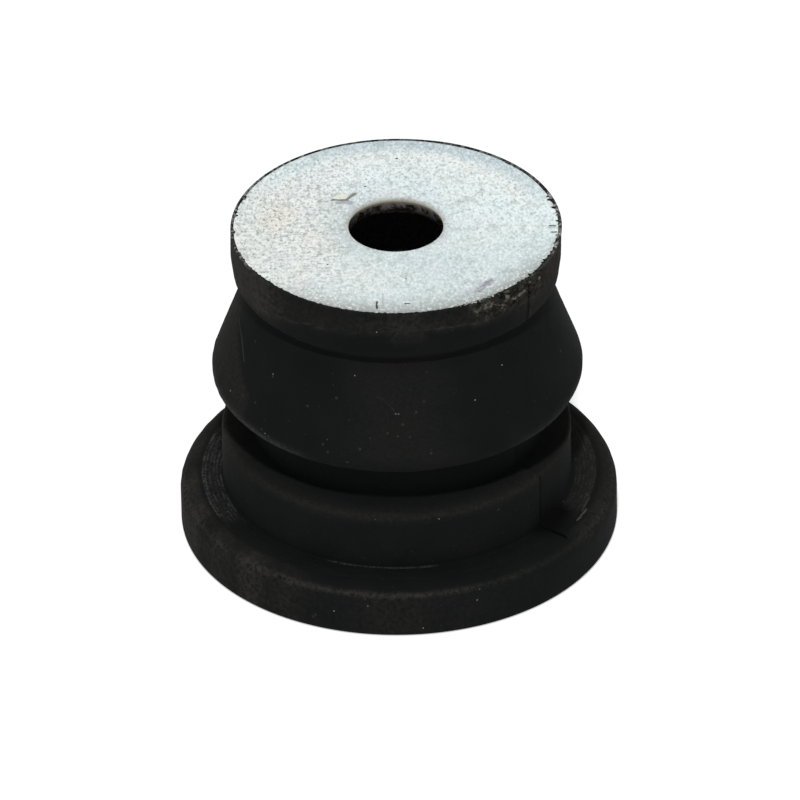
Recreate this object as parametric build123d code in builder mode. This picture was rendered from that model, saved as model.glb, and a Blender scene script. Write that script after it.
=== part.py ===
"""Annular rubber vibration damper with a bonded steel end plate.

A moulded rubber body carries a flat zinc-plated plate in its small end. From the foot up the rubber
has a wide flange, a short collar, a deep groove that grips the edge of a panel, a conical bulge, a
narrow waist and a rim that holds the plate. A straight hollow runs from the foot to the plate, and
leaves room for the head of the screw that passes through the plate.

Millimetres. The origin is the centre of the foot, and +Z runs up the axis to the plate.
"""

import os

from build123d import *
from math import asin, atan2, cos, degrees, hypot, sin

# Steel plate
plate_diameter = 23.6
plate_thickness = 1.0
screw_hole_diameter = 7.0
screw_hole_lead = 0.25

# Rubber rim round the plate: an upright band, then a slight taper down to its lip
rim_skin = 0.15
rim_band_height = 2.15
rim_taper_height = 1.5
rim_taper_depth = 0.2
rim_edge_break = 0.08
rim_lip_break = 0.25

# Waist, the crease below the rim's lip
waist_pinch = 0.9
waist_drop = 0.6

# Groove that takes the edge of a panel, and the neck at its bottom
neck_diameter = 21.2
groove_width = 3.5

# Bulge over the groove: a round nose, and a conical flank up to the waist
bulge_overhang = 2.9
bulge_height = 8.8
bulge_nose_round = 1.5

# Collar under the groove
collar_overhang = 2.3
collar_height = 4.55
collar_edge_break = 0.4

# Flange at the foot
flange_overhang = 3.15
flange_thickness = 3.9
flange_edge_round = 1.35
foot_edge_break = 0.3

# Hollow for the screw's head
hollow_diameter = 15.0
hollow_mouth_lead = 0.5

# Heights up the axis
collar_top = flange_thickness + collar_height
groove_top = collar_top + groove_width
waist_level = groove_top + bulge_height
rim_lip = waist_level + waist_drop
band_foot = rim_lip + rim_taper_height
total_height = band_foot + rim_band_height
plate_seat = total_height - plate_thickness

# Radii
plate_radius = plate_diameter / 2
hole_radius = screw_hole_diameter / 2
rim_radius = plate_radius + rim_skin
rim_lip_radius = rim_radius - rim_taper_depth
waist_radius = rim_lip_radius - waist_pinch
neck_radius = neck_diameter / 2
bulge_radius = neck_radius + bulge_overhang
collar_radius = neck_radius + collar_overhang
flange_radius = collar_radius + flange_overhang
hollow_radius = hollow_diameter / 2

# The bulge's nose, as radius and height, and its flank, which leans so that it leaves the nose smoothly
nose_centre = (bulge_radius - bulge_nose_round, groove_top + bulge_nose_round)
waist_inset = nose_centre[0] - waist_radius
waist_rise = waist_level - nose_centre[1]
flank_lean = atan2(waist_inset, waist_rise) + asin(bulge_nose_round / hypot(waist_inset, waist_rise))
flank_foot = (
    nose_centre[0] + bulge_nose_round * cos(flank_lean),
    nose_centre[1] + bulge_nose_round * sin(flank_lean),
)


def ring_edge(part, radius, height):
    """The circular edges of a turned part that have this radius and lie at this height."""
    near = 0.01
    rings = part.edges().filter_by(GeomType.CIRCLE)
    return rings.filter_by(
        lambda ring: abs(ring.radius - radius) < near and abs(ring.arc_center.Z - height) < near
    )


# Steel plate: a flat disc, its screw hole broken at the top edge
with BuildPart() as steel_plate:
    with BuildSketch(Plane.XY.offset(plate_seat)):
        Circle(plate_radius)
        Circle(hole_radius, mode=Mode.SUBTRACT)
    extrude(amount=plate_thickness)
    chamfer(ring_edge(steel_plate, hole_radius, total_height), length=screw_hole_lead)

# Rubber body: one half-section turned about the axis
with BuildPart() as rubber_body:
    with BuildSketch(Plane.XZ):
        with BuildLine():
            Polyline(
                (hollow_radius, plate_seat),
                (hollow_radius, 0),
                (flange_radius, 0),
                (flange_radius, flange_thickness),
                (collar_radius, flange_thickness),
                (collar_radius, collar_top),
                (neck_radius, collar_top),
                (neck_radius, groove_top),
                (nose_centre[0], groove_top),
            )
            CenterArc(nose_centre, bulge_nose_round, -90, 90 + degrees(flank_lean))
            Polyline(
                flank_foot,
                (waist_radius, waist_level),
                (rim_lip_radius, rim_lip),
                (rim_radius, band_foot),
                (rim_radius, total_height),
                (plate_radius, total_height),
                (plate_radius, plate_seat),
                (hollow_radius, plate_seat),
            )
        make_face()
    revolve(axis=Axis.Z)

    # The edges that the mould leaves round or broken
    fillet(ring_edge(rubber_body, flange_radius, flange_thickness), radius=flange_edge_round)
    chamfer(ring_edge(rubber_body, rim_radius, total_height), length=rim_edge_break)
    chamfer(ring_edge(rubber_body, rim_lip_radius, rim_lip), length=rim_lip_break)
    chamfer(ring_edge(rubber_body, collar_radius, collar_top), length=collar_edge_break)
    chamfer(ring_edge(rubber_body, flange_radius, 0), length=foot_edge_break)
    chamfer(ring_edge(rubber_body, hollow_radius, 0), length=hollow_mouth_lead)

steel_plate.part.label = "steel_plate"
rubber_body.part.label = "rubber_body"

os.makedirs("parts", exist_ok=True)
export_step(steel_plate.part, "parts/steel_plate.step")
export_step(rubber_body.part, "parts/rubber_body.step")
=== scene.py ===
"""The looks of a moulded rubber vibration damper with a zinc-plated steel plate in its small end.

Two dense turned meshes stand for the two CAD solids and keep their forms. The rubber gets its small
rounds, its mould's parting lines and mismatch, the turned marks on its flange and its dust, with
highlights, light and shade painted into its colour. The plate gets its rolled edges, its punched hole,
its grain, a painted reflection and the flake's painted shadow. Thin flash creeps from the rubber over the
plate.

Metres. A bearing is an angle round the axis, in radians, from the front (-Y) towards +X. The ends of a
sector are in degrees, and the lists of small marks are in degrees and millimetres.
"""

import cmath
import math

import bpy
import numpy as np
from mathutils import Matrix, Vector


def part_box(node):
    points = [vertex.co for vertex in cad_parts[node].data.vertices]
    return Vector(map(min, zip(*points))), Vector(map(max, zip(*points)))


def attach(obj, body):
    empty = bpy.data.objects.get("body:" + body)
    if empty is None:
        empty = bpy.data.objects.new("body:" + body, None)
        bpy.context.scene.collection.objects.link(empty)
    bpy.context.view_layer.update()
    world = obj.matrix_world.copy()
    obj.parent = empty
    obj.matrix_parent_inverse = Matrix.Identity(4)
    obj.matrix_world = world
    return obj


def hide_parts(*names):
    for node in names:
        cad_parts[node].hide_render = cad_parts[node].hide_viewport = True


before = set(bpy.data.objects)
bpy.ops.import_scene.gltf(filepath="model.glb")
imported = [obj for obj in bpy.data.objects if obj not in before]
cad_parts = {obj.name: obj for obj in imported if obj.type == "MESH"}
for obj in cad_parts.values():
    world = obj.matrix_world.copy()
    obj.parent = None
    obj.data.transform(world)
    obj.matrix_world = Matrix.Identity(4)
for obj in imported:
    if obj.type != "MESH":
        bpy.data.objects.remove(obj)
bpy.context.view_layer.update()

MM = 0.001

# Overall sizes, from the boxes of the CAD solids
_, body_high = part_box("rubber_body")
plate_low, plate_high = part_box("steel_plate")
total_height = body_high.z
flange_radius = body_high.x
plate_radius = plate_high.x
plate_seat = plate_low.z

# Radii of the moulding
rim_radius = plate_radius + 0.15 * MM
rim_lip_radius = rim_radius - 0.2 * MM
neck_radius = 10.6 * MM
bulge_radius = neck_radius + 2.9 * MM
collar_radius = neck_radius + 2.3 * MM
hollow_radius = 7.5 * MM

# Heights of the moulding
flange_top = 3.9 * MM
collar_top = flange_top + 4.55 * MM
groove_top = collar_top + 3.5 * MM
crease_level = 20.75 * MM
rim_lip = 21.35 * MM
band_foot = 22.85 * MM

# Rounds that the mould leaves on its edges and in its corners
mouth_round = 0.5 * MM
foot_round = 0.35 * MM
flange_round = 1.35 * MM
root_round = 0.15 * MM
collar_round = 0.55 * MM
groove_round = 0.15 * MM
nose_round = 1.5 * MM
crease_round = 0.25 * MM
rim_lip_round = 0.45 * MM
band_round = 2.0 * MM
rim_round = 0.1 * MM

# Flank of the bulge: its lean from upright
flank_lean = math.radians(20.6)

# The mould's two parting lines, in degrees. One half stands back beside the first. Each is a fine ridge,
# and a crevice where it crosses the flange, the collar and the rim.
parting_lines = (52.7, 232.7)
mismatch_depth = 0.3 * MM
ridge_height = 0.025 * MM
crevice_depth = 0.1 * MM
crevice_reach = 0.07 * MM

# The painted shade along the first crevice: its shift on the collar and on the rim, in degrees, and its half
# width
collar_line_shift = 1.4
rim_line_shift = -0.5
crevice_shade_reach = 0.15 * MM

# Turned rings on the flange beside the collar
ring_count = 6
rings_start = 13.1 * MM
rings_end = 14.4 * MM
ring_height = 0.02 * MM

# Seam round the rim: its height at the front, its drop to both sides and at the left, and its relief
seam_level = 23.6 * MM
seam_drop = 0.45 * MM
seam_left_drop = 1.3 * MM
seam_relief = 0.02 * MM

# Plate: its hole, how far its face lies below the rubber's rim, and the rounds of its edges
hole_radius = 3.41 * MM
face_drop = 0.04 * MM
plate_face = total_height - face_drop
plate_edge_roll = 0.12 * MM
hole_roll = 0.1 * MM

# Columns of the turned meshes
body_columns = 260
plate_columns = 560
flash_columns = 1400

# Spots where flash reaches in over the plate: bearing in degrees, reach in mm, half width in degrees
flash_spots = [
    (-113, 0.12, 1.0), (-110, 0.3, 1.6), (-101, 0.12, 2.0), (-98, 0.14, 1.5), (-87, 0.26, 1.2),
    (-72, 0.12, 2.0), (64, 0.15, 5.0), (79, 0.15, 2.0), (97, 0.12, 2.0), (101, 0.25, 1.5),
    (107, 0.2, 1.5), (132, 0.15, 1.5), (136, 0.2, 1.5), (-164, 0.15, 0.8), (-172, 0.15, 0.8),
]
flash_shortest = 0.005 * MM
flash_longest = 0.6 * MM

# Stretch of the rim's front right where flash was torn off, as bearings in degrees
torn_from = 29
torn_to = 61

# The loose flake's corners on the plate's face, in millimetres
flake_corners = [
    (-4.5, 3.7), (-4.05, 3.64), (-3.6, 3.68), (-3.47, 3.95),
    (-3.43, 4.3), (-3.9, 4.38), (-4.33, 4.12), (-4.57, 3.82),
]

# Marks on the plate's face, as lines between two places, in millimetres
dark_marks = [
    ((0.11, 9.19), (0.16, 9.17)), ((-2.25, 5.43), (-2.2, 5.43)), ((-1.39, -10.1), (-1.44, -11)),
    ((0.62, -10.42), (0.9, -10.43)), ((11.1, -0.22), (11.5, -0.24)), ((11.25, -1.08), (11.55, -1.1)),
]
# The flake's dark edge, with a painted shadow line under it, and its softer painted shadow
flake_edge_and_shadow_line = [((-4.55, 3.62), (-3.5, 3.57)), ((-3.55, 3.65), (-2.9, 4.45))]
flake_shadow = [((-4.15, 3.2), (-3.45, 3.3)), ((-3.45, 3.3), (-3.25, 3.15))]
front_film = [((0.35, -11.45), (1.6, -11.4))]
left_stain = [((-8.5, 2), (-9, 0))]
front_smudge = [((5.75, -8.8), (6.75, -7.5))]
faint_lines = [
    ((-4.08, -1.77), (-4.08, -2.5)), ((-4, -2.83), (-3.45, -2.84)), ((-1, -9), (-1, -11.1)),
    ((-3.2, 11.24), (-3.43, 10.9)), ((-1.65, 11.45), (-1.47, 11)), ((-9.6, -1.7), (-6.9, -0.9)),
    ((-7.4, -0.07), (-6.6, -0.05)), ((-6.3, 0), (-5.5, 0)), ((-7.3, -1.05), (-6.7, -1.05)),
    ((3.83, 2.8), (4.9, 3.28)), ((3.8, 1.45), (4.4, 1.5)), ((4.4, 1.5), (4.84, 2.05)),
    ((4.84, 2.05), (5.4, 2.1)), ((3.5, 0.18), (4, 0.17)), ((3.75, -4.56), (4.62, -4.24)),
    ((10.6, -0.3), (11.6, -0.4)), ((11.1, -1.23), (11.6, -1.24)), ((11.15, 2.3), (11.6, 2.15)),
    ((5.6, -9.1), (5.95, -8.5)), ((6.3, -8.2), (6.7, -7.65)),
]

# Lint and scratches on the rubber, by bearing in degrees, radius and height in millimetres
lint_places = [
    (-7, 11.95, 23.53), (-15.6, 11.4, 19.28), (-48.1, 12.04, 17.57), (40.1, 11.63, 18.67),
    (-66.1, 13.24, 14.42), (-45.4, 13.49, 13.4), (-0.9, 12.32, 16.85), (0.2, 12.33, 16.84),
    (26.8, 12.25, 17.03), (-0.4, 12.32, 16.83), (-0.1, 12.89, 15.3), (12.8, 12.9, 7.88),
    (68.5, 12.9, 4), (52.2, 12.55, 8.21), (21.2, 15.89, 3.24), (20.2, 16.04, 2.47),
    (-8.4, 16.02, 2.61), (-17.4, 16.05, 1.83), (5.8, 16.05, 0.69),
]
dust_grains = [
    (-59.2, 13.06, 14.87), (-52.4, 13, 15.06), (-31.4, 12.45, 16.49), (-21.4, 12.06, 17.54),
    (-61.8, 11.62, 18.72), (-47, 13.49, 13.6), (-44, 13.49, 13.3), (-48, 12.1, 17.4), (6, 12.3, 16.9),
    (1.5, 12.6, 16.1), (3.6, 12.9, 15.2), (-3.4, 12.8, 15.5), (8.9, 12.1, 17.6), (-9, 12.9, 15.1),
    (-12, 13.3, 14.3), (10, 13.4, 14), (-24, 13.3, 14.2), (-58.2, 11.95, 23.06), (-22.5, 16.04, 1.2),
    (-23.2, 16.04, 1), (-22.1, 13.46, 13.74), (-15.9, 13.47, 13.17), (71.8, 12.44, 16.54),
    (33.8, 12.9, 7.38), (19, 12.5, 8.3), (20, 12.46, 8.33),
]
hair = [
    ((-7.6, 11.9, 17.97), (-5, 11.96, 17.83)), ((-5, 11.96, 17.83), (-2.5, 12.14, 17.33)),
    ((-2.5, 12.14, 17.33), (-0.4, 12.31, 16.86)),
]
torn_bits = [
    ((41, 11.95, 24.6), (41.6, 11.95, 24.45)), ((52.2, 11.95, 24.65), (53, 11.95, 24.6)),
    ((58, 11.95, 24.4), (59, 11.95, 24.2)), ((44, 11.95, 24.1), (50.4, 11.95, 24.2)),
]
deep_scratch = [((61.5, 14.75, 3.89), (67.5, 14.8, 3.88))]
light_scratches = [
    ((66, 14.6, 3.9), (73.5, 14.5, 3.9)), ((-78.4, 11.62, 18.7), (-70.1, 11.92, 17.93)),
    ((-70.1, 11.92, 17.93), (-64.5, 12.29, 16.94)), ((54, 11.87, 22.1), (54.3, 11.8, 21.65)),
]

# Colours of the rubber and of what lies on it, and of the highlights, light and shade painted on it
rubber_black = (0.0067, 0.0082, 0.0078, 1)
rubber_pale = (0.0086, 0.0093, 0.009, 1)
rubber_painted_shade = (0.002, 0.002, 0.0024, 1)
rubber_dust = (0.036, 0.0342, 0.0302, 1)
scuff_and_painted_light_grey = (0.075, 0.076, 0.072, 1)
lint_white = (0.3, 0.31, 0.28, 1)
torn_olive = (0.05, 0.048, 0.04, 1)
torn_ochre = (0.17, 0.166, 0.135, 1)
bared_steel = (0.55, 0.55, 0.52, 1)

# Tones of the zinc plating, and of a painted reflection: brighter at the right and the back, dimmer in front
zinc_blue = (0.715, 0.825, 0.835, 1)
zinc_warm = (0.84, 0.84, 0.785, 1)
zinc_grey = (0.63, 0.71, 0.71, 1)
zinc_reflection_bright = (0.87, 0.97, 0.975, 1)
zinc_reflection_dim = (0.585, 0.705, 0.71, 1)
zinc_pale = (0.96, 0.98, 0.98, 1)
zinc_dark = (0.36, 0.41, 0.4, 1)
zinc_violet = (0.72, 0.7, 0.8, 1)
zinc_deep_blue = (0.44, 0.555, 0.6, 1)

# Stains, marks, darkened edges and bare edges on the plate
stain_yellow = (0.82, 0.79, 0.68, 1)
stain_rust = (0.33, 0.3, 0.22, 1)
zinc_edge_darkening = (0.25, 0.25, 0.225, 1)
smudge_purple = (0.3, 0.27, 0.34, 1)
mark_black = (0.06, 0.055, 0.045, 1)
shadow_grey = (0.36, 0.37, 0.39, 1)
flake_edge_and_shadow_olive = (0.15, 0.155, 0.12, 1)
hole_edge_darkening = (0.24, 0.235, 0.19, 1)
hole_edge_brown = (0.3, 0.27, 0.21, 1)
hole_wall_dark = (0.012, 0.01, 0.0075, 1)
hole_wall_pale = (0.2, 0.182, 0.168, 1)

# Colours of the loose flake, and of the painted shade on it
flake_cream = (0.93, 0.95, 0.84, 1)
flake_painted_shade = (0.8, 0.81, 0.68, 1)

# Camera, fitted to the photograph
camera_elevation = math.radians(33.2)
camera_distance = 646 * MM
camera_target = Vector((0, 0, 12.5 * MM))
camera_aim = Vector((0.15 * MM, 0, 9.9 * MM))
camera_roll = math.radians(0.68)
camera_lens = 398.6

# Key lamp, high in front: its shadow under the bulge ends on the collar's top, as in the photograph
key_elevation = math.radians(57)
key_bearing = math.radians(-3)
key_distance = 1.0
key_size = 0.06
key_power = 6.0
key_aim = Vector((0, 0, 10 * MM))

# World and floor: how bright the world is for the object, and how much the floor is white of its own
world_on_object = 0.25
floor_glow = 0.5
floor_grey = (0.8, 0.8, 0.8, 1)
floor_side = 2.0
floor_level = -0.02 * MM
white = (1, 1, 1, 1)


def smooth(values, low, high):
    """0 below low, 1 above high and a smooth rise between."""
    share = np.clip((values - low) / (high - low), 0, 1)
    return share * share * (3 - 2 * share)


def window(values, low, high, soft):
    """1 between low and high, falling to 0 over a soft margin outside them."""
    return smooth(values, low - soft, low) * (1 - smooth(values, high, high + soft))


def peak(values, middle, reach):
    """1 at the middle, falling smoothly to almost nothing at twice the reach from it."""
    return np.exp(-(((values - middle) / reach) ** 2))


def apart(bearing, other):
    """How far each bearing lies from another, the short way round."""
    return np.abs((bearing - other + math.pi) % math.tau - math.pi)


def sector(bearing, first, last, soft=6):
    """1 from one bearing round to another, both in degrees, falling to 0 over a soft margin outside."""
    middle, half = math.radians((first + last) / 2), math.radians((last - first) / 2)
    return 1 - smooth(apart(bearing, middle), half, half + math.radians(soft))


def harmonics(bearing, lowest, highest, seed):
    """Smooth random values round the circle, mostly within -1 and 1, of lowest to highest waves."""
    random = np.random.default_rng(seed)
    waves = np.arange(lowest, highest + 1)
    heights = random.normal(size=waves.size) / math.sqrt(waves.size)
    phases = random.uniform(0, math.tau, waves.size)
    return sum(h * np.cos(n * bearing + p) for n, h, p in zip(waves, heights, phases))


def on_rubber(bearing, radius, height):
    angle = math.radians(bearing)
    return (radius * math.sin(angle) * MM, -radius * math.cos(angle) * MM, height * MM)


def on_plate(x, y):
    return (x * MM, y * MM, plate_face)


def rubber_lines(lines):
    return [(on_rubber(*start), on_rubber(*end)) for start, end in lines]


def rubber_dots(places):
    """A line of no length, drawn as a dot, at each place."""
    return rubber_lines([(place, place) for place in places])


def plate_lines(lines):
    return [(on_plate(*start), on_plate(*end)) for start, end in lines]


# Turned meshes

def unit(value):
    return value / abs(value)


def rounded_corner(before, corner, after, size, spacing):
    """The arc that rounds a corner between its neighbours. A point is radius + height * 1j."""
    if size == 0:
        return [corner]
    back = unit(before - corner)
    ahead = unit(after - corner)
    half = abs(cmath.phase(ahead / back)) / 2
    centre = corner + unit(back + ahead) * size / math.sin(half)
    start = corner + back * size / math.tan(half) - centre
    end = corner + ahead * size / math.tan(half) - centre
    turn = cmath.phase(end / start)
    count = max(3, math.ceil(abs(turn) * size / max(spacing, 0.12 * size)))
    return [centre + start * cmath.exp(1j * turn * k / count) for k in range(count + 1)]


def outline(corners, arc_spacing):
    """Points round a closed outline of (radius, height, round, spacing of the run that follows)."""
    points = []
    places = [complex(radius, height) for radius, height, _, _ in corners]
    arcs = []
    for k, (_, _, size, _) in enumerate(corners):
        before, after = places[k - 1], places[(k + 1) % len(places)]
        arcs.append(rounded_corner(before, places[k], after, size, arc_spacing))
    for k, arc in enumerate(arcs):
        end, start = arc[-1], arcs[(k + 1) % len(arcs)][0]
        count = max(1, math.ceil(abs(start - end) / corners[k][3]))
        points += arc + [end + (start - end) * step / count for step in range(1, count)]
    return np.array(points)


def bearings_round(count, refined=()):
    """Bearings evenly spaced round the circle, and closer within each (middle, reach, spacing)."""
    closest = 0.0005
    found = [np.arange(count) * math.tau / count]
    for middle, reach, spacing in refined:
        found.append(np.arange(middle - reach, middle + reach, spacing) % math.tau)
    found = np.unique(np.concatenate(found).round(5))
    return found[np.diff(found, append=found[0] + math.tau) > closest]


def add_piece(name, places, faces):
    """An object made of places and faces, put in the scene."""
    mesh = bpy.data.meshes.new(name)
    mesh.from_pydata(places, [], faces)
    piece = bpy.data.objects.new(name, mesh)
    bpy.context.scene.collection.objects.link(piece)
    return piece


def add_turned(name, radius, height, bearings):
    """A closed mesh from rows of radii and heights, with a column at each bearing."""
    places = np.stack((radius * np.sin(bearings), -radius * np.cos(bearings), height), 2)
    rows, columns = radius.shape
    index = np.arange(rows * columns).reshape(rows, columns)
    above = np.roll(index, -1, 0)
    faces = np.stack((index, np.roll(index, -1, 1), np.roll(above, -1, 1), above), 2)
    return add_piece(name, places.reshape(-1, 3), faces.reshape(-1, 4))


def turned_mesh(name, points, bearings, relief):
    """A smooth piece, turned from an outline. relief gives how far each point stands out from it."""
    tangent = np.roll(points, -1) - np.roll(points, 1)
    normal = (-1j * tangent / np.abs(tangent))[:, None]
    radius, height = points.real[:, None], points.imag[:, None]
    moved = points[:, None] + normal * relief(radius, height, bearings[None, :])
    across = np.minimum(moved.real, flange_radius)
    up = np.clip(moved.imag, 0, total_height)
    piece = add_turned(name, across, up, bearings)
    faces = piece.data.polygons
    faces.foreach_set("use_smooth", np.ones(len(faces), bool))
    return piece


def paint(piece, **layers):
    """Keeps numbers for a piece's vertices, which its material reads by name. Too few are repeated."""
    for name, values in layers.items():
        layer = piece.data.attributes.new(name, "FLOAT", "POINT")
        layer.data.foreach_set("value", np.resize(values, len(layer.data)).astype(np.float32))


# Rubber moulding: its shape

def bulge_flank():
    """Radii of the flank's line at the groove's ceiling and at the crease under the rim."""
    slope = math.tan(flank_lean)
    nose_centre = complex(bulge_radius - nose_round, groove_top + nose_round)
    touch = nose_centre + nose_round * cmath.exp(1j * flank_lean)
    return [touch.real - (level - touch.imag) * slope for level in (groove_top, crease_level)]


def body_outline():
    nose_radius, crease_radius = bulge_flank()
    on_marks, on_band, middling, coarse = 0.04 * MM, 0.07 * MM, 0.4 * MM, 0.8 * MM
    marks_end = rings_end + 0.2 * MM
    return outline([
        (hollow_radius, plate_seat, 0, 3 * MM),
        (hollow_radius, 0, mouth_round, 2 * MM),
        (flange_radius, 0, foot_round, middling),
        (flange_radius, flange_top, flange_round, middling),
        (marks_end, flange_top, 0, on_marks),
        (collar_radius, flange_top, root_round, middling),
        (collar_radius, collar_top, collar_round, coarse),
        (neck_radius, collar_top, groove_round, coarse),
        (neck_radius, groove_top, groove_round, coarse),
        (nose_radius, groove_top, nose_round, middling),
        (crease_radius, crease_level, crease_round, middling),
        (rim_lip_radius, rim_lip, rim_lip_round, middling),
        (rim_radius, band_foot, band_round, on_band),
        (rim_radius, total_height, rim_round, 0.1 * MM),
        (plate_radius, total_height, 0, 0.5 * MM),
        (plate_radius, plate_seat, 0, 2 * MM),
    ], 0.1 * MM)


def outer_skin(radius):
    """0 in the hollow, and 1 on the moulding's outside."""
    return smooth(radius, 8 * MM, 9 * MM)


def mismatch(height, bearing):
    """The mould's right half sits off centre at the collar and the groove, most beside the parting line."""
    first = parting_lines[0]
    half = sector(bearing, first, first + 90, 0.7) * np.cos(bearing - math.radians(first))
    return -mismatch_depth * half * window(height, flange_top + 0.15 * MM, groove_top - 1 * MM, 0.1 * MM)


def near_line(radius, bearing, line, reach):
    """1 along a line that runs up the moulding at a bearing in degrees, falling to 0 over a reach."""
    return peak(apart(bearing, np.radians(line)) * radius, 0, reach)


def crevice(radius, height):
    """1 where a parting line is a cut: on the collar and the flat of the flange, and on the rim."""
    low = 1 - smooth(height, collar_top - 0.6 * MM, collar_top - 0.2 * MM)
    low = low * (1 - smooth(radius, 15 * MM, 15.5 * MM))
    return low + window(height, rim_lip, seam_level + 1 * MM, 0.2 * MM)


def parting_marks(radius, height, bearing):
    """A fine ridge along each parting line, and a crevice where the line is a cut."""
    outside = smooth(radius, 9 * MM, 9.5 * MM) * smooth(height, 0.3 * MM, 0.8 * MM)
    uneven = 0.6 + 0.4 * np.sin(height / (0.9 * MM))
    cut = crevice(radius, height)
    marks = 0
    for line in parting_lines:
        at_line = near_line(radius, bearing, line, crevice_reach)
        marks = marks + at_line * (ridge_height * uneven * (1 - cut) - crevice_depth * cut)
    return outside * marks


def turned_rings(radius, height, bearing):
    """Broken concentric marks on the flange beside the collar, from 0 to 1, plainest at its two sides."""
    random = np.random.default_rng(5)
    on_top = window(height, flange_top - 0.02 * MM, flange_top + 0.02 * MM, 0.02 * MM)
    sides = 0.05 + 1.05 * sector(bearing, -108, -68, 10) + 0.45 * sector(bearing, 68, 118, 8)
    spread = random.normal(0, 0.04 * MM, ring_count)
    marks = 0
    for k, place in enumerate(np.linspace(rings_start, rings_end, ring_count) + spread):
        ring = place + 0.04 * MM * harmonics(bearing, 2, 12, seed=40 + k)
        broken = np.clip(0.5 + 0.7 * harmonics(bearing, 3, 60, seed=60 + k), 0.1, 1.2)
        marks = marks + broken * peak(radius, ring, 0.06 * MM)
    between = 0.25 * window(radius, rings_start, rings_end, 0.15 * MM)
    return on_top * sides * (marks + between)


def seam_height(bearing):
    """Height of the fine wavy seam round the rim, which drops a little to both sides of the front."""
    drop = seam_drop * (1 - sector(bearing, -5, 15, 20)) + seam_left_drop * sector(bearing, -110, -68, 40)
    return seam_level - drop + 0.07 * MM * harmonics(bearing, 6, 40, seed=33)


def seam(radius, height, bearing):
    """1 along the seam of the rim, broken here and there."""
    on_rim = smooth(radius, rim_radius - 0.15 * MM, rim_radius - 0.05 * MM)
    broken = np.clip(0.7 + 0.8 * harmonics(bearing, 20, 90, seed=34), 0, 1)
    return on_rim * broken * peak(height, seam_height(bearing), 0.08 * MM)


def waviness(radius, height, bearing):
    """Long, shallow unevenness of the rubber's skin, nothing where it meets the plate or stands."""
    free = outer_skin(radius) * smooth(height, 0.1 * MM, 1.5 * MM)
    free = free * (1 - smooth(height, seam_level, seam_level + 1 * MM))
    waves = harmonics(bearing + 0.1 * np.sin(height / (3 * MM)), 2, 14, seed=21)
    shorter = harmonics(bearing + 0.2 * np.sin(height / (1.3 * MM)), 15, 60, seed=22)
    return (0.02 * waves + 0.008 * shorter) * MM * free


def torn_patch(radius, height, bearing):
    """1 where flash was torn off the rim, falling to 0 round it."""
    reach = sector(bearing, torn_from, torn_to, 4)
    above = smooth(height, seam_level - 0.5 * MM, seam_level + 0.2 * MM)
    return reach * above * smooth(radius, rim_radius - 0.4 * MM, rim_radius - 0.1 * MM)


def rough_rim(radius, height, bearing):
    """The rim's outer edge, ragged where flash was torn off, and a thin skin that ends at the seam."""
    ragged = 0.2 + harmonics(bearing + 0.03 * np.sin(height / (0.12 * MM)), 60, 220, seed=31)
    pitted = harmonics(bearing + 0.02 * np.cos(height / (0.07 * MM)), 90, 260, seed=32)
    torn = torn_patch(radius, height, bearing) * (0.07 * ragged + 0.04 * pitted) * MM
    edge = smooth(height, total_height - 0.5 * MM, total_height - 0.1 * MM)
    right = 0.04 * MM * sector(bearing, 90, 155, 15) * edge
    return torn + right + seam_relief * seam(radius, height, bearing)


def body_relief(radius, height, bearing):
    shape = mismatch(height, bearing) + parting_marks(radius, height, bearing)
    surface = ring_height * turned_rings(radius, height, bearing) + waviness(radius, height, bearing)
    return (shape + surface + rough_rim(radius, height, bearing)) * outer_skin(radius)


# Rubber moulding: where it is dusty, worn and bared, and where highlights, light and shade are painted

def rim_dust(height, bearing, clouds):
    """Dust on the rim: above its seam all round, and lower down on both of its sides."""
    level = seam_height(bearing)
    above = smooth(height, level - 0.6 * MM, level + 0.1 * MM) * (0.6 + 0.8 * clouds)
    above = above * (0.5 - 0.12 * sector(bearing, -45, -15, 10))
    above = above * (1 - 0.4 * sector(bearing, -60, 30, 20) * smooth(height, 24 * MM, 24.7 * MM))
    front = 0.4 * sector(bearing, -1, 8, 3) * smooth(height, 22.2 * MM, 22.9 * MM)
    sides = 0.3 * (1 - sector(bearing, -40, 40, 20)) * smooth(height, crease_level, rim_lip)
    left = 1.05 * sector(bearing, -110, -55, 15) * smooth(height, rim_lip, rim_lip + 1 * MM)
    right = 0.75 * sector(bearing, 50, 100, 8) * smooth(height, rim_lip, seam_level)
    return above + front + sides + left + right


def flank_side(height, bearing):
    """1 on the dusty left side of the bulge, which ends at a line that leans forwards down the flank."""
    line = np.radians(-78.4 + 6.4 * np.clip(18.7 - height / MM, 0, 3.7))
    behind = (line - bearing) % math.tau
    return smooth(behind, 0, 0.05) * (1 - smooth(behind, 1, 2))


def bulge_dust(height, bearing):
    """Dust on the bulge: down its front, on its left side, in the crease above it and round its nose."""
    front = 0.27 * sector(bearing, -5, 7, 22) * window(height, 14 * MM, 19 * MM, 2 * MM)
    side = 0.65 * flank_side(height, bearing) * window(height, 13.5 * MM, 20 * MM, 1 * MM)
    crease = 0.15 * peak(height, crease_level, 0.5 * MM)
    nose = 0.12 * peak(height, groove_top + 0.5 * MM, 0.6 * MM)
    return front + side + crease + nose


def collar_dust(radius, height, bearing):
    """Dust on the collar: thinly down its wall, and along its top edge and at its left, where it is also a
    painted highlight.
    """
    brink = collar_top - 0.25 * MM
    # Along the top edge and at the left, this pale coat is dust and a painted highlight.
    edge = peak(height, brink, 0.35 * MM) * (0.48 + 0.3 * sector(bearing, -110, -70))
    wall = 0.08 * window(height, flange_top + 0.3 * MM, brink, 0.4 * MM)
    left = 0.7 * sector(bearing, -98, -86, 14) * window(height, flange_top + 1.1 * MM, brink, 0.5 * MM)
    return (edge + wall + left) * smooth(radius, 11 * MM, 12.3 * MM)


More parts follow.
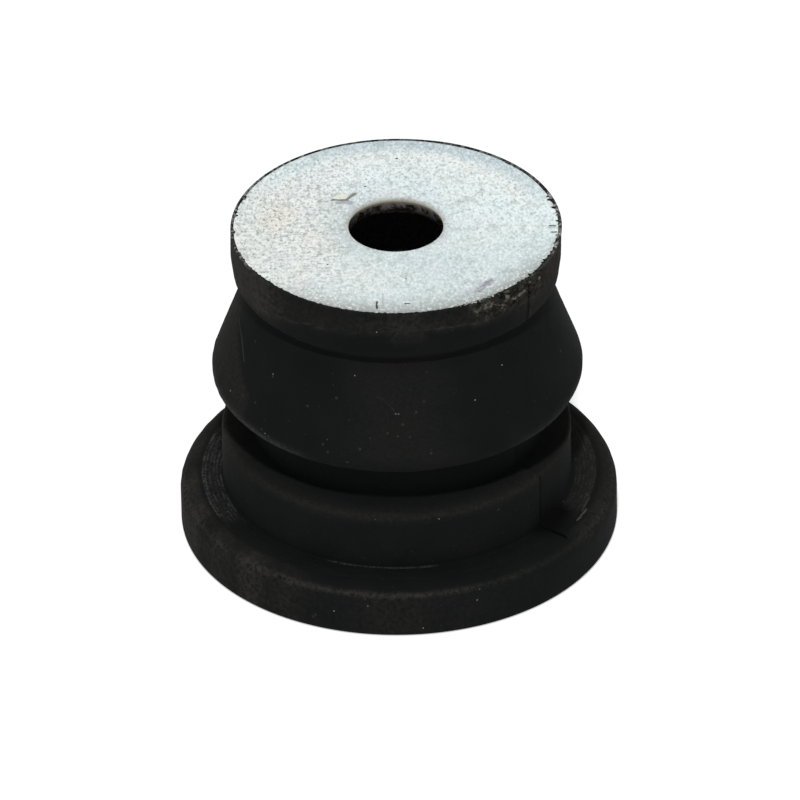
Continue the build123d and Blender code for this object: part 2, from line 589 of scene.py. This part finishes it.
def flange_dust(radius, height, bearing, clouds):
    """Dust on the flange: its wall, less beside the first parting line, the turn of its edge, also a painted
    highlight, and the left and the right of its top, also a painted reflection.
    """
    wall = 0.1 + 0.15 * clouds + 0.25 * sector(bearing, -4, 4, 8)
    wall = wall * (1 - smooth(height, 3.2 * MM, 3.7 * MM)) * (1 - 0.6 * sector(bearing, 30, 65, 12))
    # The left and the right of the top: dust and a painted reflection.
    left = 0.65 * sector(bearing, -100, -38, 15) + 0.6 * sector(bearing, -115, -75, 15)
    left = left * (0.5 + 0.8 * clouds) * smooth(radius, 14.4 * MM, 15 * MM)
    # The turn of the edge: dust and a painted highlight, strongest at the front left.
    turn = peak(height, 3.4 * MM, 0.14 * MM) * smooth(radius, 15.3 * MM, 15.5 * MM)
    turn = turn * (0.45 + 0.95 * sector(bearing, -35, 8, 20)) * (0.7 + 0.6 * clouds)
    right = 0.7 * sector(bearing, 60, 112, 10) + 0.2 * sector(bearing, 60, 70, 5)
    right = right * smooth(radius, 14.6 * MM, 15.3 * MM) * smooth(height, 2.6 * MM, 3.4 * MM)
    flat = 0.7 * sector(bearing, 66, 120, 10) * window(radius, rings_start, rings_end - 0.1 * MM, 0.4 * MM)
    flat = flat * window(height, flange_top - 0.1 * MM, flange_top + 0.02 * MM, 0.05 * MM)
    return wall + left + turn + right + flat


def body_dust(radius, height, bearing):
    """Where dust lies on the rubber, with painted highlights on some edges and sides and painted light in
    the hollow, from 0 to 1.
    """
    clouds = 0.5 + 0.5 * harmonics(bearing, 3, 30, seed=71)
    # Painted light: the hollow is coated pale all over, lifting its dark inside.
    inside = 1 - outer_skin(radius)
    upper = rim_dust(height, bearing, clouds) + bulge_dust(height, bearing)
    lower = collar_dust(radius, height, bearing) + flange_dust(radius, height, bearing, clouds)
    return inside + upper + lower


def crevice_painted_shade(radius, height, bearing):
    """The painted black shade of the first parting line's crevice, on the rim, the collar and the flange."""
    shift = collar_line_shift * (1 - smooth(radius, collar_radius, collar_radius + 0.4 * MM))
    shift = np.where(height > crease_level, rim_line_shift, shift)
    at_line = near_line(radius, bearing, parting_lines[0] + shift, crevice_shade_reach)
    return at_line * crevice(radius, height)


def body_shelter(radius, height, bearing):
    """Where shade is painted near black: round the collar's foot, and in and beside the crevice."""
    corner = np.hypot(np.maximum(radius - collar_radius, 0), np.maximum(height - flange_top, 0))
    foot = 0.45 - 0.42 * smooth(height, flange_top, flange_top + 0.5 * MM)
    foot = foot * peak(corner, 0, 1.6 * MM)
    foot = foot * smooth(radius, collar_radius - 0.3 * MM, collar_radius - 0.1 * MM)
    first = parting_lines[0]
    beside = 0.7 * sector(bearing, first + 1, first + 9, 10) * peak(corner, 0, 2 * MM)
    beside = beside * smooth(radius, collar_radius - 0.9 * MM, collar_radius - 0.5 * MM)
    return foot + beside + crevice_painted_shade(radius, height, bearing)


def nose_painted_highlight(height, bearing):
    """A painted highlight round both sides of the bulge's nose, plainest on the left, which climbs towards
    the side.
    """
    level = groove_top + 0.65 * MM + 1.26 * MM * (1 - np.cos(bearing)) ** 2
    sides = 0.8 * sector(bearing, -76, -42, 16) + 0.2 * sector(bearing, 48, 76, 14)
    return sides * peak(height, level, 0.4 * MM)


def foot_line(radius, height, bearing):
    """A pale line along the foot of the collar, in front."""
    line = 1.1 * peak(radius, collar_radius + 0.1 * MM, 0.05 * MM) * sector(bearing, -20, 8)
    line = line * (1 - smooth(height, flange_top, flange_top + 0.2 * MM))
    return line * smooth(height, flange_top - 0.9 * MM, flange_top - 0.1 * MM)


def rim_wear(radius, height, bearing):
    """Scuffs on the rim: its seam, its top edge away from the front, and its two sides."""
    along_seam = 0.05 + 0.3 * sector(bearing, 12, 28, 4) + 0.25 * sector(bearing, -72, -30, 8)
    top = 0.25 * (1 - sector(bearing, -75, 45, 10))
    top = top * smooth(height, total_height - 0.15 * MM, total_height)
    right = 0.5 * sector(bearing, 62, 100, 6) * smooth(height, total_height - 0.6 * MM, total_height)
    left = 0.15 * sector(bearing, -110, -60, 15) * smooth(height, rim_lip, rim_lip + 1 * MM)
    return along_seam * seam(radius, height, bearing) + top + right + left


def body_wear(radius, height, bearing):
    """Where the skin is painted pale: scuffs on the rings, the collar's foot and the rim, a painted
    highlight round the nose, and painted light in the hollow.
    """
    low = turned_rings(radius, height, bearing) + foot_line(radius, height, bearing)
    high = nose_painted_highlight(height, bearing) + rim_wear(radius, height, bearing)
    # The hollow is painted pale too: painted light in its dark inside.
    return low + high + (1 - outer_skin(radius))


def bared(height, bearing):
    """Where the skin round the plate is so thin that the steel glints through: its sides and its back."""
    right = 0.9 * sector(bearing, 74, 108, 5)
    left = 0.55 * sector(bearing, -150, -70, 10)
    back = 0.3 * sector(bearing, 120, 200)
    return (right + left + back) * smooth(height, total_height - 0.12 * MM, total_height - 0.02 * MM)


def make_body():
    """The moulding, with closer columns beside its parting lines, at the torn rim and at the left rings."""
    points = body_outline()
    beside_lines = [(math.radians(line + 0.7), 0.04, 0.004) for line in parting_lines]
    torn_rim, left_rings = (0.82, 0.36, 0.008), (4.73, 0.5, 0.013)
    bearings = bearings_round(body_columns, beside_lines + [torn_rim, left_rings])
    piece = turned_mesh("rubber_moulding", points, bearings, body_relief)
    place = points.real[:, None], points.imag[:, None], bearings[None, :]
    paint(
        piece,
        dust=body_dust(*place),
        wear=body_wear(*place),
        torn=torn_patch(*place),
        shelter=body_shelter(*place),
        bared=bared(*place[1:]),
    )
    return piece


# Steel plate

def plate_outline():
    return outline([
        (hole_radius, plate_seat, 0, 1 * MM),
        (plate_radius, plate_seat, 0, 0.5 * MM),
        (plate_radius, plate_face, plate_edge_roll, 0.25 * MM),
        (hole_radius, plate_face, hole_roll, 0.06 * MM),
    ], 0.04 * MM)


def plate_relief(radius, height, bearing):
    """A face that is a little uneven, and a hole whose wall broke away unevenly under the punch."""
    face = smooth(height, plate_seat + 0.6 * MM, total_height - 0.1 * MM)
    flat = 0.006 * harmonics(bearing, 2, 8, seed=81) * smooth(radius, 5 * MM, 9 * MM)
    wall = (1 - smooth(radius, hole_radius, hole_radius + 0.2 * MM)) * (1 - face)
    broken = 0.015 * harmonics(bearing + 0.05 * np.sin(height / (0.2 * MM)), 10, 60, seed=82)
    return (flat * face + broken * wall) * MM


def make_plate():
    """The plate, with its hole's wall painted bare, from a little lower down at the back."""
    points = plate_outline()
    bearings = bearings_round(plate_columns)
    piece = turned_mesh("zinc_plate", points, bearings, plate_relief)
    radius, depth = points.real[:, None], plate_face - points.imag[:, None]
    lowered = 0.1 * MM * sector(bearings, 130, 230, 40)[None, :]
    wall = 1 - smooth(radius, hole_radius + 0.002 * MM, hole_radius + 0.02 * MM)
    thickness = total_height - plate_seat
    paint(
        piece,
        hole_wall=wall * smooth(depth - lowered, 0.08 * MM, 0.2 * MM),
        depth=depth / thickness * np.ones_like(bearings)[None, :],
    )
    return piece


def make_flake():
    """A pale sliver of plating that lies loose on the plate, behind the hole's left side."""
    levels = (plate_face, total_height - 0.002 * MM)
    places = [(x * MM, y * MM, level) for level in levels for x, y in flake_corners]
    count = len(flake_corners)
    sides = [(k, (k + 1) % count, (k + 1) % count + count, k + count) for k in range(count)]
    ends = [tuple(range(count))[::-1], tuple(range(count, 2 * count))]
    return add_piece("loose_flake", places, sides + ends)


# Flash over the plate's edge

def flash_reach(bearing):
    """How far the flash creeps in over the plate: a thin even lip in front, and ragged spots beside."""
    lip = 0.15 * sector(bearing, -50, 40, 20)
    right = sector(bearing, 46, 112, 6)
    torn = np.clip(harmonics(bearing, 40, 200, seed=92), 0, 2.5)
    wisps = 0.01 + 0.02 * harmonics(bearing, 20, 160, seed=91)
    spots = 0
    for place, reach, width in flash_spots:
        spots = spots + reach * peak(apart(bearing, math.radians(place)), 0, math.radians(width))
    ragged = torn * (0.02 + 0.1 * right + 0.03 * sector(bearing, -120, 45))
    reach = (lip + wisps + ragged + spots * (0.8 + 0.3 * torn)) * MM
    return np.clip(reach, flash_shortest, flash_longest)


def make_flash():
    """A thin ring of rubber skin, its inner edge ragged and blunt."""
    bearings = bearings_round(flash_columns)
    outer = np.full_like(bearings, plate_radius + 0.05 * MM)
    inner = plate_radius - flash_reach(bearings)
    top = total_height - 0.004 * MM
    radius = np.stack((outer, outer, (outer + inner) / 2, inner, inner))
    levels = [plate_face - 0.06 * MM, top, top, plate_face + 0.014 * MM, plate_face - 0.01 * MM]
    height = np.array(levels)[:, None] * np.ones_like(radius)
    piece = add_turned("rim_flash", radius, height, bearings)
    burr = 2 * sector(bearings, 21.5, 37, 1.5)
    paint(piece, bared=bared(total_height, bearings) + burr, wear=0.1, dust=0.2, torn=0, shelter=0)
    return piece


# Materials

class Shader:
    """A Principled material under construction, with short calls for the nodes that it needs."""

    def __init__(self, name, colour=None, **constants):
        self.material = bpy.data.materials.new(name)
        self.material.use_nodes = True
        self.tree = self.material.node_tree
        self.surface = self.tree.nodes["Principled BSDF"]
        self.place = self.tree.nodes.new("ShaderNodeTexCoord").outputs["Object"]
        self.colour = colour
        for socket, value in constants.items():
            self.surface.inputs[socket.replace("_", " ")].default_value = value

    def node(self, kind, inputs, **settings):
        """Adds a node. An input is a value, or the socket that feeds it."""
        made = self.tree.nodes.new("ShaderNode" + kind)
        for name, value in settings.items():
            setattr(made, name, value)
        for name, value in inputs.items():
            if isinstance(value, bpy.types.NodeSocket):
                self.tree.links.new(value, made.inputs[name])
            else:
                made.inputs[name].default_value = value
        return made

    def math(self, operation, first, second=0.0):
        return self.node("Math", {0: first, 1: second}, operation=operation).outputs[0]

    def times(self, first, second):
        return self.math("MULTIPLY", first, second)

    def clamp(self, value):
        return self.node("Clamp", {"Value": value}).outputs[0]

    def range(self, value, low, high, bottom=0.0, top=1.0):
        inputs = {"Value": value, "From Min": low, "From Max": high, "To Min": bottom, "To Max": top}
        return self.node("MapRange", inputs).outputs["Result"]

    def band(self, value, start, full, ebb, end):
        """Rises from 0 to 1 between start and full, and falls back to 0 between ebb and end."""
        return self.times(self.range(value, start, full), self.range(value, end, ebb))

    def mix(self, share, first, second):
        return self.node("Mix", {0: share, 6: first, 7: second}, data_type="RGBA").outputs[2]

    def coat(self, tone, *shares):
        """Lays a tone over the colour so far, by the product of the shares."""
        share = shares[0]
        for other in shares[1:]:
            share = self.times(share, other)
        self.colour = self.mix(share, self.colour, tone)

    def vector(self, operation, first, second):
        return self.node("VectorMath", {0: first, 1: second}, operation=operation).outputs

    def axis(self, name):
        """The object's own X, Y or Z."""
        return self.node("SeparateXYZ", {0: self.place}).outputs[name]

    def along(self, x, y):
        """How far each place lies in a direction."""
        return self.vector("DOT_PRODUCT", self.place, (x, y, 0))["Value"]

    def stretched(self, x, y, z):
        """The object's own coordinates, each times a factor."""
        return self.vector("MULTIPLY", self.place, (x, y, z))[0]

    def wavering(self, amount):
        """The object's own coordinates, shifted a little from place to place."""
        noise = self.node("TexNoise", {"Vector": self.place, "Scale": 1 / (0.4 * MM), "Detail": 2})
        centred = self.vector("SUBTRACT", noise.outputs["Color"], (0.5, 0.5, 0.5))[0]
        shift = self.node("VectorMath", {0: centred, "Scale": amount}, operation="SCALE").outputs[0]
        return self.vector("ADD", self.place, shift)[0]

    def noise(self, size, detail=2.0, roughness=0.5, place=None):
        inputs = {"Vector": place or self.place, "Scale": 1 / size, "Detail": detail, "Roughness": roughness}
        return self.node("TexNoise", inputs).outputs["Fac"]

    def specks(self, size, spacing, share):
        """Small round dots, in a share of the cells of a grid of that spacing."""
        cells = self.node("TexVoronoi", {"Vector": self.place, "Scale": 1 / spacing})
        dot = self.range(cells.outputs["Distance"], size / spacing, 0.6 * size / spacing)
        picked = self.node("SeparateColor", {0: cells.outputs["Color"]}).outputs[0]
        return self.times(dot, self.math("GREATER_THAN", picked, 1 - share))

    def strokes(self, lines, half_width, place=None):
        """1 along straight lines, each given by its two ends, and 0 away from them."""
        nearest = None
        for start, end in lines:
            run = Vector(end) - Vector(start)
            per_length = run / max(run.length_squared, 1e-12)
            inward = self.vector("SUBTRACT", place or self.place, start)[0]
            share = self.clamp(self.vector("DOT_PRODUCT", inward, per_length)["Value"])
            onward = self.node("VectorMath", {0: run, "Scale": share}, operation="SCALE").outputs[0]
            away = self.vector("DISTANCE", inward, onward)["Value"]
            nearest = self.math("MINIMUM", nearest, away) if nearest else away
        return self.range(nearest, half_width, 0.5 * half_width)

    def attribute(self, name):
        return self.node("Attribute", {}, attribute_name=name).outputs["Fac"]

    def feed(self, socket, value):
        self.tree.links.new(value, self.surface.inputs[socket])

    def bump(self, height, depth):
        made = self.node("Bump", {"Height": height, "Distance": depth, "Strength": 1.0})
        self.feed("Normal", made.outputs["Normal"])


def lay_dust(shader):
    """Brownish dust, with painted highlights and light in the same tone, in blotches on the flange and the
    rim and evener between. Gives its amount.
    """
    up = shader.axis("Z")
    on_flange, on_rim = shader.range(up, 4.2 * MM, 3.4 * MM), shader.range(up, 22 * MM, 23 * MM)
    patchy = shader.math("MAXIMUM", on_flange, on_rim)
    even = shader.range(shader.noise(0.25 * MM, 4, 0.6), 0.2, 0.8)
    blotches = shader.range(shader.noise(0.35 * MM, 5, 0.75), 0.36, 0.66, 0, 1.1)
    mottled = shader.node("Mix", {0: patchy, 2: even, 3: blotches}, data_type="FLOAT").outputs[0]
    amount = shader.clamp(shader.times(shader.attribute("dust"), mottled))
    shader.coat(rubber_dust, amount)
    return amount


def lay_wear(shader):
    """Pale scuffs, a painted highlight on the nose and painted light in the hollow, and the crumbly patch
    where flash was torn off the rim.
    """
    wear = shader.times(shader.attribute("wear"), shader.range(shader.noise(0.2 * MM, 3), 0.3, 0.6))
    shader.coat(scuff_and_painted_light_grey, shader.clamp(wear))
    torn = shader.attribute("torn")
    crumbs = shader.noise(0.8 * MM, 5, 0.65)
    shader.coat(torn_olive, torn, shader.range(crumbs, 0.42, 0.56))
    shader.coat(torn_ochre, torn, shader.range(crumbs, 0.57, 0.65, 0, 0.9))


def lay_specks(shader):
    """Scattered specks all over, painted shade round the collar's foot and along the first crevice, and the
    lint and the larger grains where they lie.
    """
    shader.coat(scuff_and_painted_light_grey, shader.specks(0.045 * MM, 0.5 * MM, 0.35), 0.4)
    shader.coat(scuff_and_painted_light_grey, shader.specks(0.05 * MM, 1.5 * MM, 0.4))
    shader.coat(scuff_and_painted_light_grey, shader.specks(0.09 * MM, 1.1 * MM, 0.5), 0.15)
    # Painted shade: near black round the collar's foot, beside the mould's step and along the first crevice.
    shader.coat(rubber_painted_shade, shader.clamp(shader.attribute("shelter")))
    shader.coat(lint_white, shader.strokes(rubber_dots(lint_places), 0.06 * MM))
    shader.coat(scuff_and_painted_light_grey, shader.strokes(rubber_dots(dust_grains), 0.13 * MM), 0.3)


def lay_scratches(shader):
    """Scratches, a hair, and bits of torn skin."""
    wavering = shader.wavering(0.2 * MM)
    shader.coat(scuff_and_painted_light_grey, shader.strokes(rubber_lines(light_scratches), 0.09 * MM, wavering), 0.4)
    shader.coat(scuff_and_painted_light_grey, shader.strokes(rubber_lines(hair), 0.07 * MM, wavering), 0.09)
    shader.coat(scuff_and_painted_light_grey, shader.strokes(rubber_lines(deep_scratch), 0.11 * MM, wavering), 0.8)
    shader.coat(torn_ochre, shader.strokes(rubber_lines(torn_bits), 0.16 * MM, shader.wavering(0.4 * MM)))


def rubber_material():
    """Satin black rubber: clouded with brownish dust, scuffed pale in places and flecked with lint, with
    painted highlights, light and shade.
    """
    shader = Shader("moulded_rubber", rubber_black, Specular_IOR_Level=0.06)
    grain = shader.noise(0.12 * MM, 3, 0.6)
    shader.coat(rubber_pale, shader.range(shader.noise(3 * MM, 4), 0.35, 0.7))
    dusty = lay_dust(shader)
    lay_wear(shader)
    lay_specks(shader)
    lay_scratches(shader)
    gaps = shader.range(shader.noise(0.35 * MM, 3, 0.6), 0.48, 0.6)
    shader.coat(bared_steel, shader.clamp(shader.times(shader.attribute("bared"), gaps)))
    shader.feed("Base Color", shader.colour)
    shader.feed("Roughness", shader.range(shader.math("ADD", grain, dusty), 0.3, 1.3, 0.85, 1))
    shader.bump(grain, 0.012 * MM)
    return shader.material


class PlateShader(Shader):
    """The plate's material, with the measures that its layers share."""

    def __init__(self):
        super().__init__("zinc_plating", zinc_blue)
        self.radius = self.vector("LENGTH", self.stretched(1, 1, 0), (0, 0, 0))["Value"]
        self.x = self.axis("X")
        self.y = self.axis("Y")
        self.leftward = self.range(self.x, -1 * MM, -9 * MM)
        self.backward = self.range(self.y, -4 * MM, 4 * MM)
        self.rolled = self.stretched(1, 0.62, 1)
        self.fine = self.noise(0.2 * MM, 2, 0.65, self.rolled)

    def lay_tones(self):
        """Creamy clouds over blue, with a painted reflection brighter at the right and the back and greyer
        in front, and greyer by the hole.
        """
        clouds = self.range(self.noise(4 * MM, 4), 0.36, 0.66)
        creamy = self.times(self.leftward, self.range(self.y, 7 * MM, 3 * MM, 0, 0.55))
        self.coat(zinc_warm, self.clamp(self.math("ADD", self.times(clouds, 0.65), creamy)))
        left_front = self.range(self.along(-0.9, -0.45), 3 * MM, 8 * MM, 0.6, 0.15)
        self.coat(zinc_blue, self.range(self.radius, 9.6 * MM, 10.6 * MM), left_front)
        # Painted reflection: brighter towards the right and the back.
        self.coat(zinc_reflection_bright, self.range(self.x, 2 * MM, 7 * MM, 0, 0.5))
        self.coat(zinc_reflection_bright, self.range(self.y, 3 * MM, 8 * MM, 0, 0.3))
        ring = self.band(self.radius, 6 * MM, 7 * MM, 8.8 * MM, 9.4 * MM)
        self.coat(zinc_pale, ring, self.range(self.x, 2 * MM, -3 * MM, 0, 0.35))
        near_hole = self.range(self.radius, 6 * MM, 4 * MM)
        self.coat(zinc_grey, near_hole, self.range(self.x, 3 * MM, -3 * MM, 0.1, 0.9))
        # Painted reflection: dimmer and greyer towards the front.
        frontward = self.range(self.y, 2 * MM, -5 * MM)
        self.coat(zinc_reflection_dim, frontward, self.range(self.x, -7 * MM, 4 * MM, 0.05, 0.65))

    def lay_bands(self):
        """Bands along the plate's edge: creamy and bluish at the back, and darker towards the front right.
        """
        creamy = self.band(self.radius, 8.8 * MM, 9.4 * MM, 9.9 * MM, 10.4 * MM)
        self.coat(zinc_warm, creamy, self.range(self.backward, 0.8, 1, 0, 0.35))
        back = self.range(self.along(0.25, 0.97), 5 * MM, 10 * MM)
        self.coat(zinc_deep_blue, self.range(self.radius, 9.9 * MM, 10.8 * MM), back, 0.7)
        front_edge_darkening = self.math("POWER", self.range(self.radius, 8.8 * MM, 11.6 * MM), 2)
        self.coat(zinc_edge_darkening, front_edge_darkening, self.range(self.along(0.25, -0.97), 4 * MM, 9.5 * MM, 0, 0.88))

    def lay_grain(self):
        """The rolled grain: fine dark and pale specks, coarser blotches, and flecks on the left."""
        self.coat(zinc_dark, self.range(self.fine, 0.5, 0.25), self.range(self.backward, 0, 1, 0.65, 1))
        pepper = self.noise(0.24 * MM, 2, 0.6, self.rolled)
        coarse = self.noise(0.45 * MM, 3, 0.6, self.rolled)
        self.coat(zinc_dark, self.leftward, self.range(pepper, 0.46, 0.35))
        self.coat(zinc_pale, self.range(self.fine, 0.52, 0.75, 0, 0.9))
        self.coat(zinc_dark, self.range(coarse, 0.5, 0.25, 0, 0.65))
        flecks = self.range(self.noise(0.24 * MM, 2, 0.6, self.stretched(0.45, 0.8, 1)), 0.44, 0.36)
        left = self.range(self.x, -2.5 * MM, -5 * MM)
        self.coat(zinc_dark, flecks, left, self.range(self.radius, 10 * MM, 8.5 * MM, 0, 0.8))

    def lay_stains(self):
        """A yellow stain with rust at the left, violet clouds, pits, and a purple smudge in front."""
        stain = self.strokes(plate_lines(left_stain), 1.5 * MM, self.wavering(1.5 * MM))
        self.coat(stain_yellow, stain, self.range(self.noise(1.5 * MM, 3), 0.3, 0.7, 0, 0.5))
        rusty = self.noise(0.26 * MM, 2, 0.6, self.rolled)
        self.coat(stain_rust, stain, self.range(rusty, 0.54, 0.66, 0, 0.9))
        self.coat(zinc_violet, self.range(self.noise(2.2 * MM, 2), 0.55, 0.72, 0, 0.22))
        self.coat(mark_black, self.specks(0.09 * MM, 0.7 * MM, 0.05))
        smudge = self.strokes(plate_lines(front_smudge), 0.33 * MM, self.wavering(0.6 * MM))
        self.coat(smudge_purple, smudge, self.range(self.fine, 0.6, 0.4, 0.5, 1))

    def lay_marks(self):
        """Faint lines, the flake's painted shadow, its dark edge with a painted shadow line under it, a film
        in front, and a few black marks.
        """
        wavering = self.wavering(0.2 * MM)
        self.coat(zinc_dark, self.strokes(plate_lines(faint_lines), 0.07 * MM, wavering), 0.55)
        self.coat(shadow_grey, self.strokes(plate_lines(flake_shadow), 0.32 * MM, wavering), 0.8)
        self.coat(flake_edge_and_shadow_olive, self.strokes(plate_lines(flake_edge_and_shadow_line), 0.17 * MM, wavering), 0.85)
        film = self.strokes(plate_lines(front_film), 0.3 * MM, self.wavering(0.5 * MM))
        self.coat(shadow_grey, film, 0.7)
        self.coat(mark_black, self.strokes(plate_lines(dark_marks), 0.1 * MM, wavering))

    def lay_hole(self):
        """The hole's edge, darker towards the hole and most at the back, which turns brown, and its dark
        bare wall. Gives where it is bare.
        """
        edge = self.range(self.radius, hole_radius + 0.85 * MM, hole_radius + 0.1 * MM)
        edge = self.math("POWER", edge, 2)
        self.coat(hole_edge_darkening, edge, self.range(self.backward, 0, 1, 0.05, 0.85))
        turned_in = self.range(self.radius, hole_radius + 0.09 * MM, hole_radius + 0.01 * MM)
        turned_in = self.times(turned_in, self.range(self.backward, 0.55, 0.8, 0.1, 1))
        self.coat(hole_edge_brown, turned_in)
        wall = self.attribute("hole_wall")
        patches = self.range(self.noise(0.7 * MM, 5, 0.65), 0.45, 0.57)
        patches = self.times(patches, self.range(self.attribute("depth"), 0.9, 0.4))
        patches = self.times(patches, self.range(self.backward, 0.4, 0.9))
        self.coat(self.mix(patches, hole_wall_dark, hole_wall_pale), wall)
        return self.math("MAXIMUM", wall, turned_in)


def zinc_material():
    """Bluish zinc plating over rolled steel: speckled grain, clouds of colour, a painted reflection, dirt,
    small marks and the flake's painted shadow.
    """
    shader = PlateShader()
    shader.lay_tones()
    shader.lay_bands()
    shader.lay_grain()
    shader.lay_stains()
    shader.lay_marks()
    bare = shader.lay_hole()
    shader.feed("Base Color", shader.colour)
    shader.feed("Metallic", shader.range(bare, 0, 1, 1, 0.2))
    shader.feed("Roughness", shader.range(shader.fine, 0.3, 0.7, 0.22, 0.32))
    shader.bump(shader.fine, 0.006 * MM)
    return shader.material


def flake_material():
    """A dull cream sliver, with patches of painted shade where it curls."""
    shader = Shader("flake", flake_cream, Metallic=0.4)
    shade = shader.range(shader.noise(0.5 * MM, 3), 0.4, 0.7)
    shader.coat(flake_painted_shade, shade)
    shader.feed("Base Color", shader.colour)
    shader.feed("Roughness", shader.range(shade, 0, 1, 0.5, 0.7))
    return shader.material


# Studio

def make_camera():
    """A long lens at the photograph's angle, turned a little about its own axis."""
    back = Vector((0, -math.cos(camera_elevation), math.sin(camera_elevation)))
    place = camera_target + back * camera_distance
    turn = (camera_aim - place).to_track_quat("-Z", "Y").to_matrix().to_4x4()
    camera = bpy.data.objects.new("camera", bpy.data.cameras.new("camera"))
    camera.data.lens = camera_lens
    camera.data.clip_start = 10 * MM
    camera.data.clip_end = 20
    camera.matrix_world = Matrix.Translation(place) @ turn @ Matrix.Rotation(-camera_roll, 4, "Z")
    bpy.context.scene.collection.objects.link(camera)
    bpy.context.scene.camera = camera


def seen_directly(tree):
    """1 for rays from the camera, off gloss or through glass, which see the background, else 0."""
    path = tree.nodes.new("ShaderNodeLightPath")
    total = path.outputs["Is Camera Ray"]
    for name in ("Is Glossy Ray", "Is Transmission Ray"):
        either = tree.nodes.new("ShaderNodeMath")
        either.operation = "MAXIMUM"
        tree.links.new(total, either.inputs[0])
        tree.links.new(path.outputs[name], either.inputs[1])
        total = either.outputs[0]
    return total


def make_world():
    """White where it is seen, and a dimmer even light on the object."""
    world = bpy.data.worlds.new("studio")
    bpy.context.scene.world = world
    world.use_nodes = True
    tree = world.node_tree
    strength = tree.nodes.new("ShaderNodeMapRange")
    strength.inputs["To Min"].default_value = world_on_object
    strength.inputs["To Max"].default_value = 1.0
    tree.links.new(seen_directly(tree), strength.inputs["Value"])
    tree.nodes["Background"].inputs["Color"].default_value = white
    tree.links.new(strength.outputs["Result"], tree.nodes["Background"].inputs["Strength"])


def make_floor():
    """A plain pale floor. Seen directly it is partly white of its own, so its shadow stays light."""
    near, far = -floor_side, floor_side
    corners = [(x, y, floor_level) for x, y in ((near, near), (far, near), (far, far), (near, far))]
    floor = add_piece("floor", corners, [(0, 1, 2, 3)])
    matt = {"Roughness": 0.9, "Specular_IOR_Level": 0}
    shader = Shader("floor", Base_Color=floor_grey, Emission_Color=white, **matt)
    shader.feed("Emission Strength", shader.times(seen_directly(shader.tree), floor_glow))
    floor.data.materials.append(shader.material)


def make_key_lamp():
    """A small disc lamp that reflections don't show."""
    lamp = bpy.data.objects.new("key_lamp", bpy.data.lights.new("key_lamp", "AREA"))
    lamp.data.shape = "DISK"
    lamp.data.size = key_size
    lamp.data.energy = key_power
    raised = Vector((0, -math.cos(key_elevation), math.sin(key_elevation)))
    lamp.location = Matrix.Rotation(key_bearing, 3, "Z") @ raised * key_distance
    lamp.rotation_euler = (key_aim - lamp.location).to_track_quat("-Z", "Y").to_euler()
    lamp.visible_glossy = False
    bpy.context.scene.collection.objects.link(lamp)


def make_studio():
    bpy.context.scene.view_settings.view_transform = "Standard"
    make_camera()
    make_world()
    make_floor()
    make_key_lamp()


# The object

rubber = rubber_material()

body = make_body()
body.data.materials.append(rubber)
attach(body, "root")
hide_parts("rubber_body")

plate = make_plate()
plate.data.materials.append(zinc_material())
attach(plate, "root")
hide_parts("steel_plate")

flake = make_flake()
flake.data.materials.append(flake_material())
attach(flake, "root")

flash = make_flash()
flash.data.materials.append(rubber)
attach(flash, "root")

make_studio()
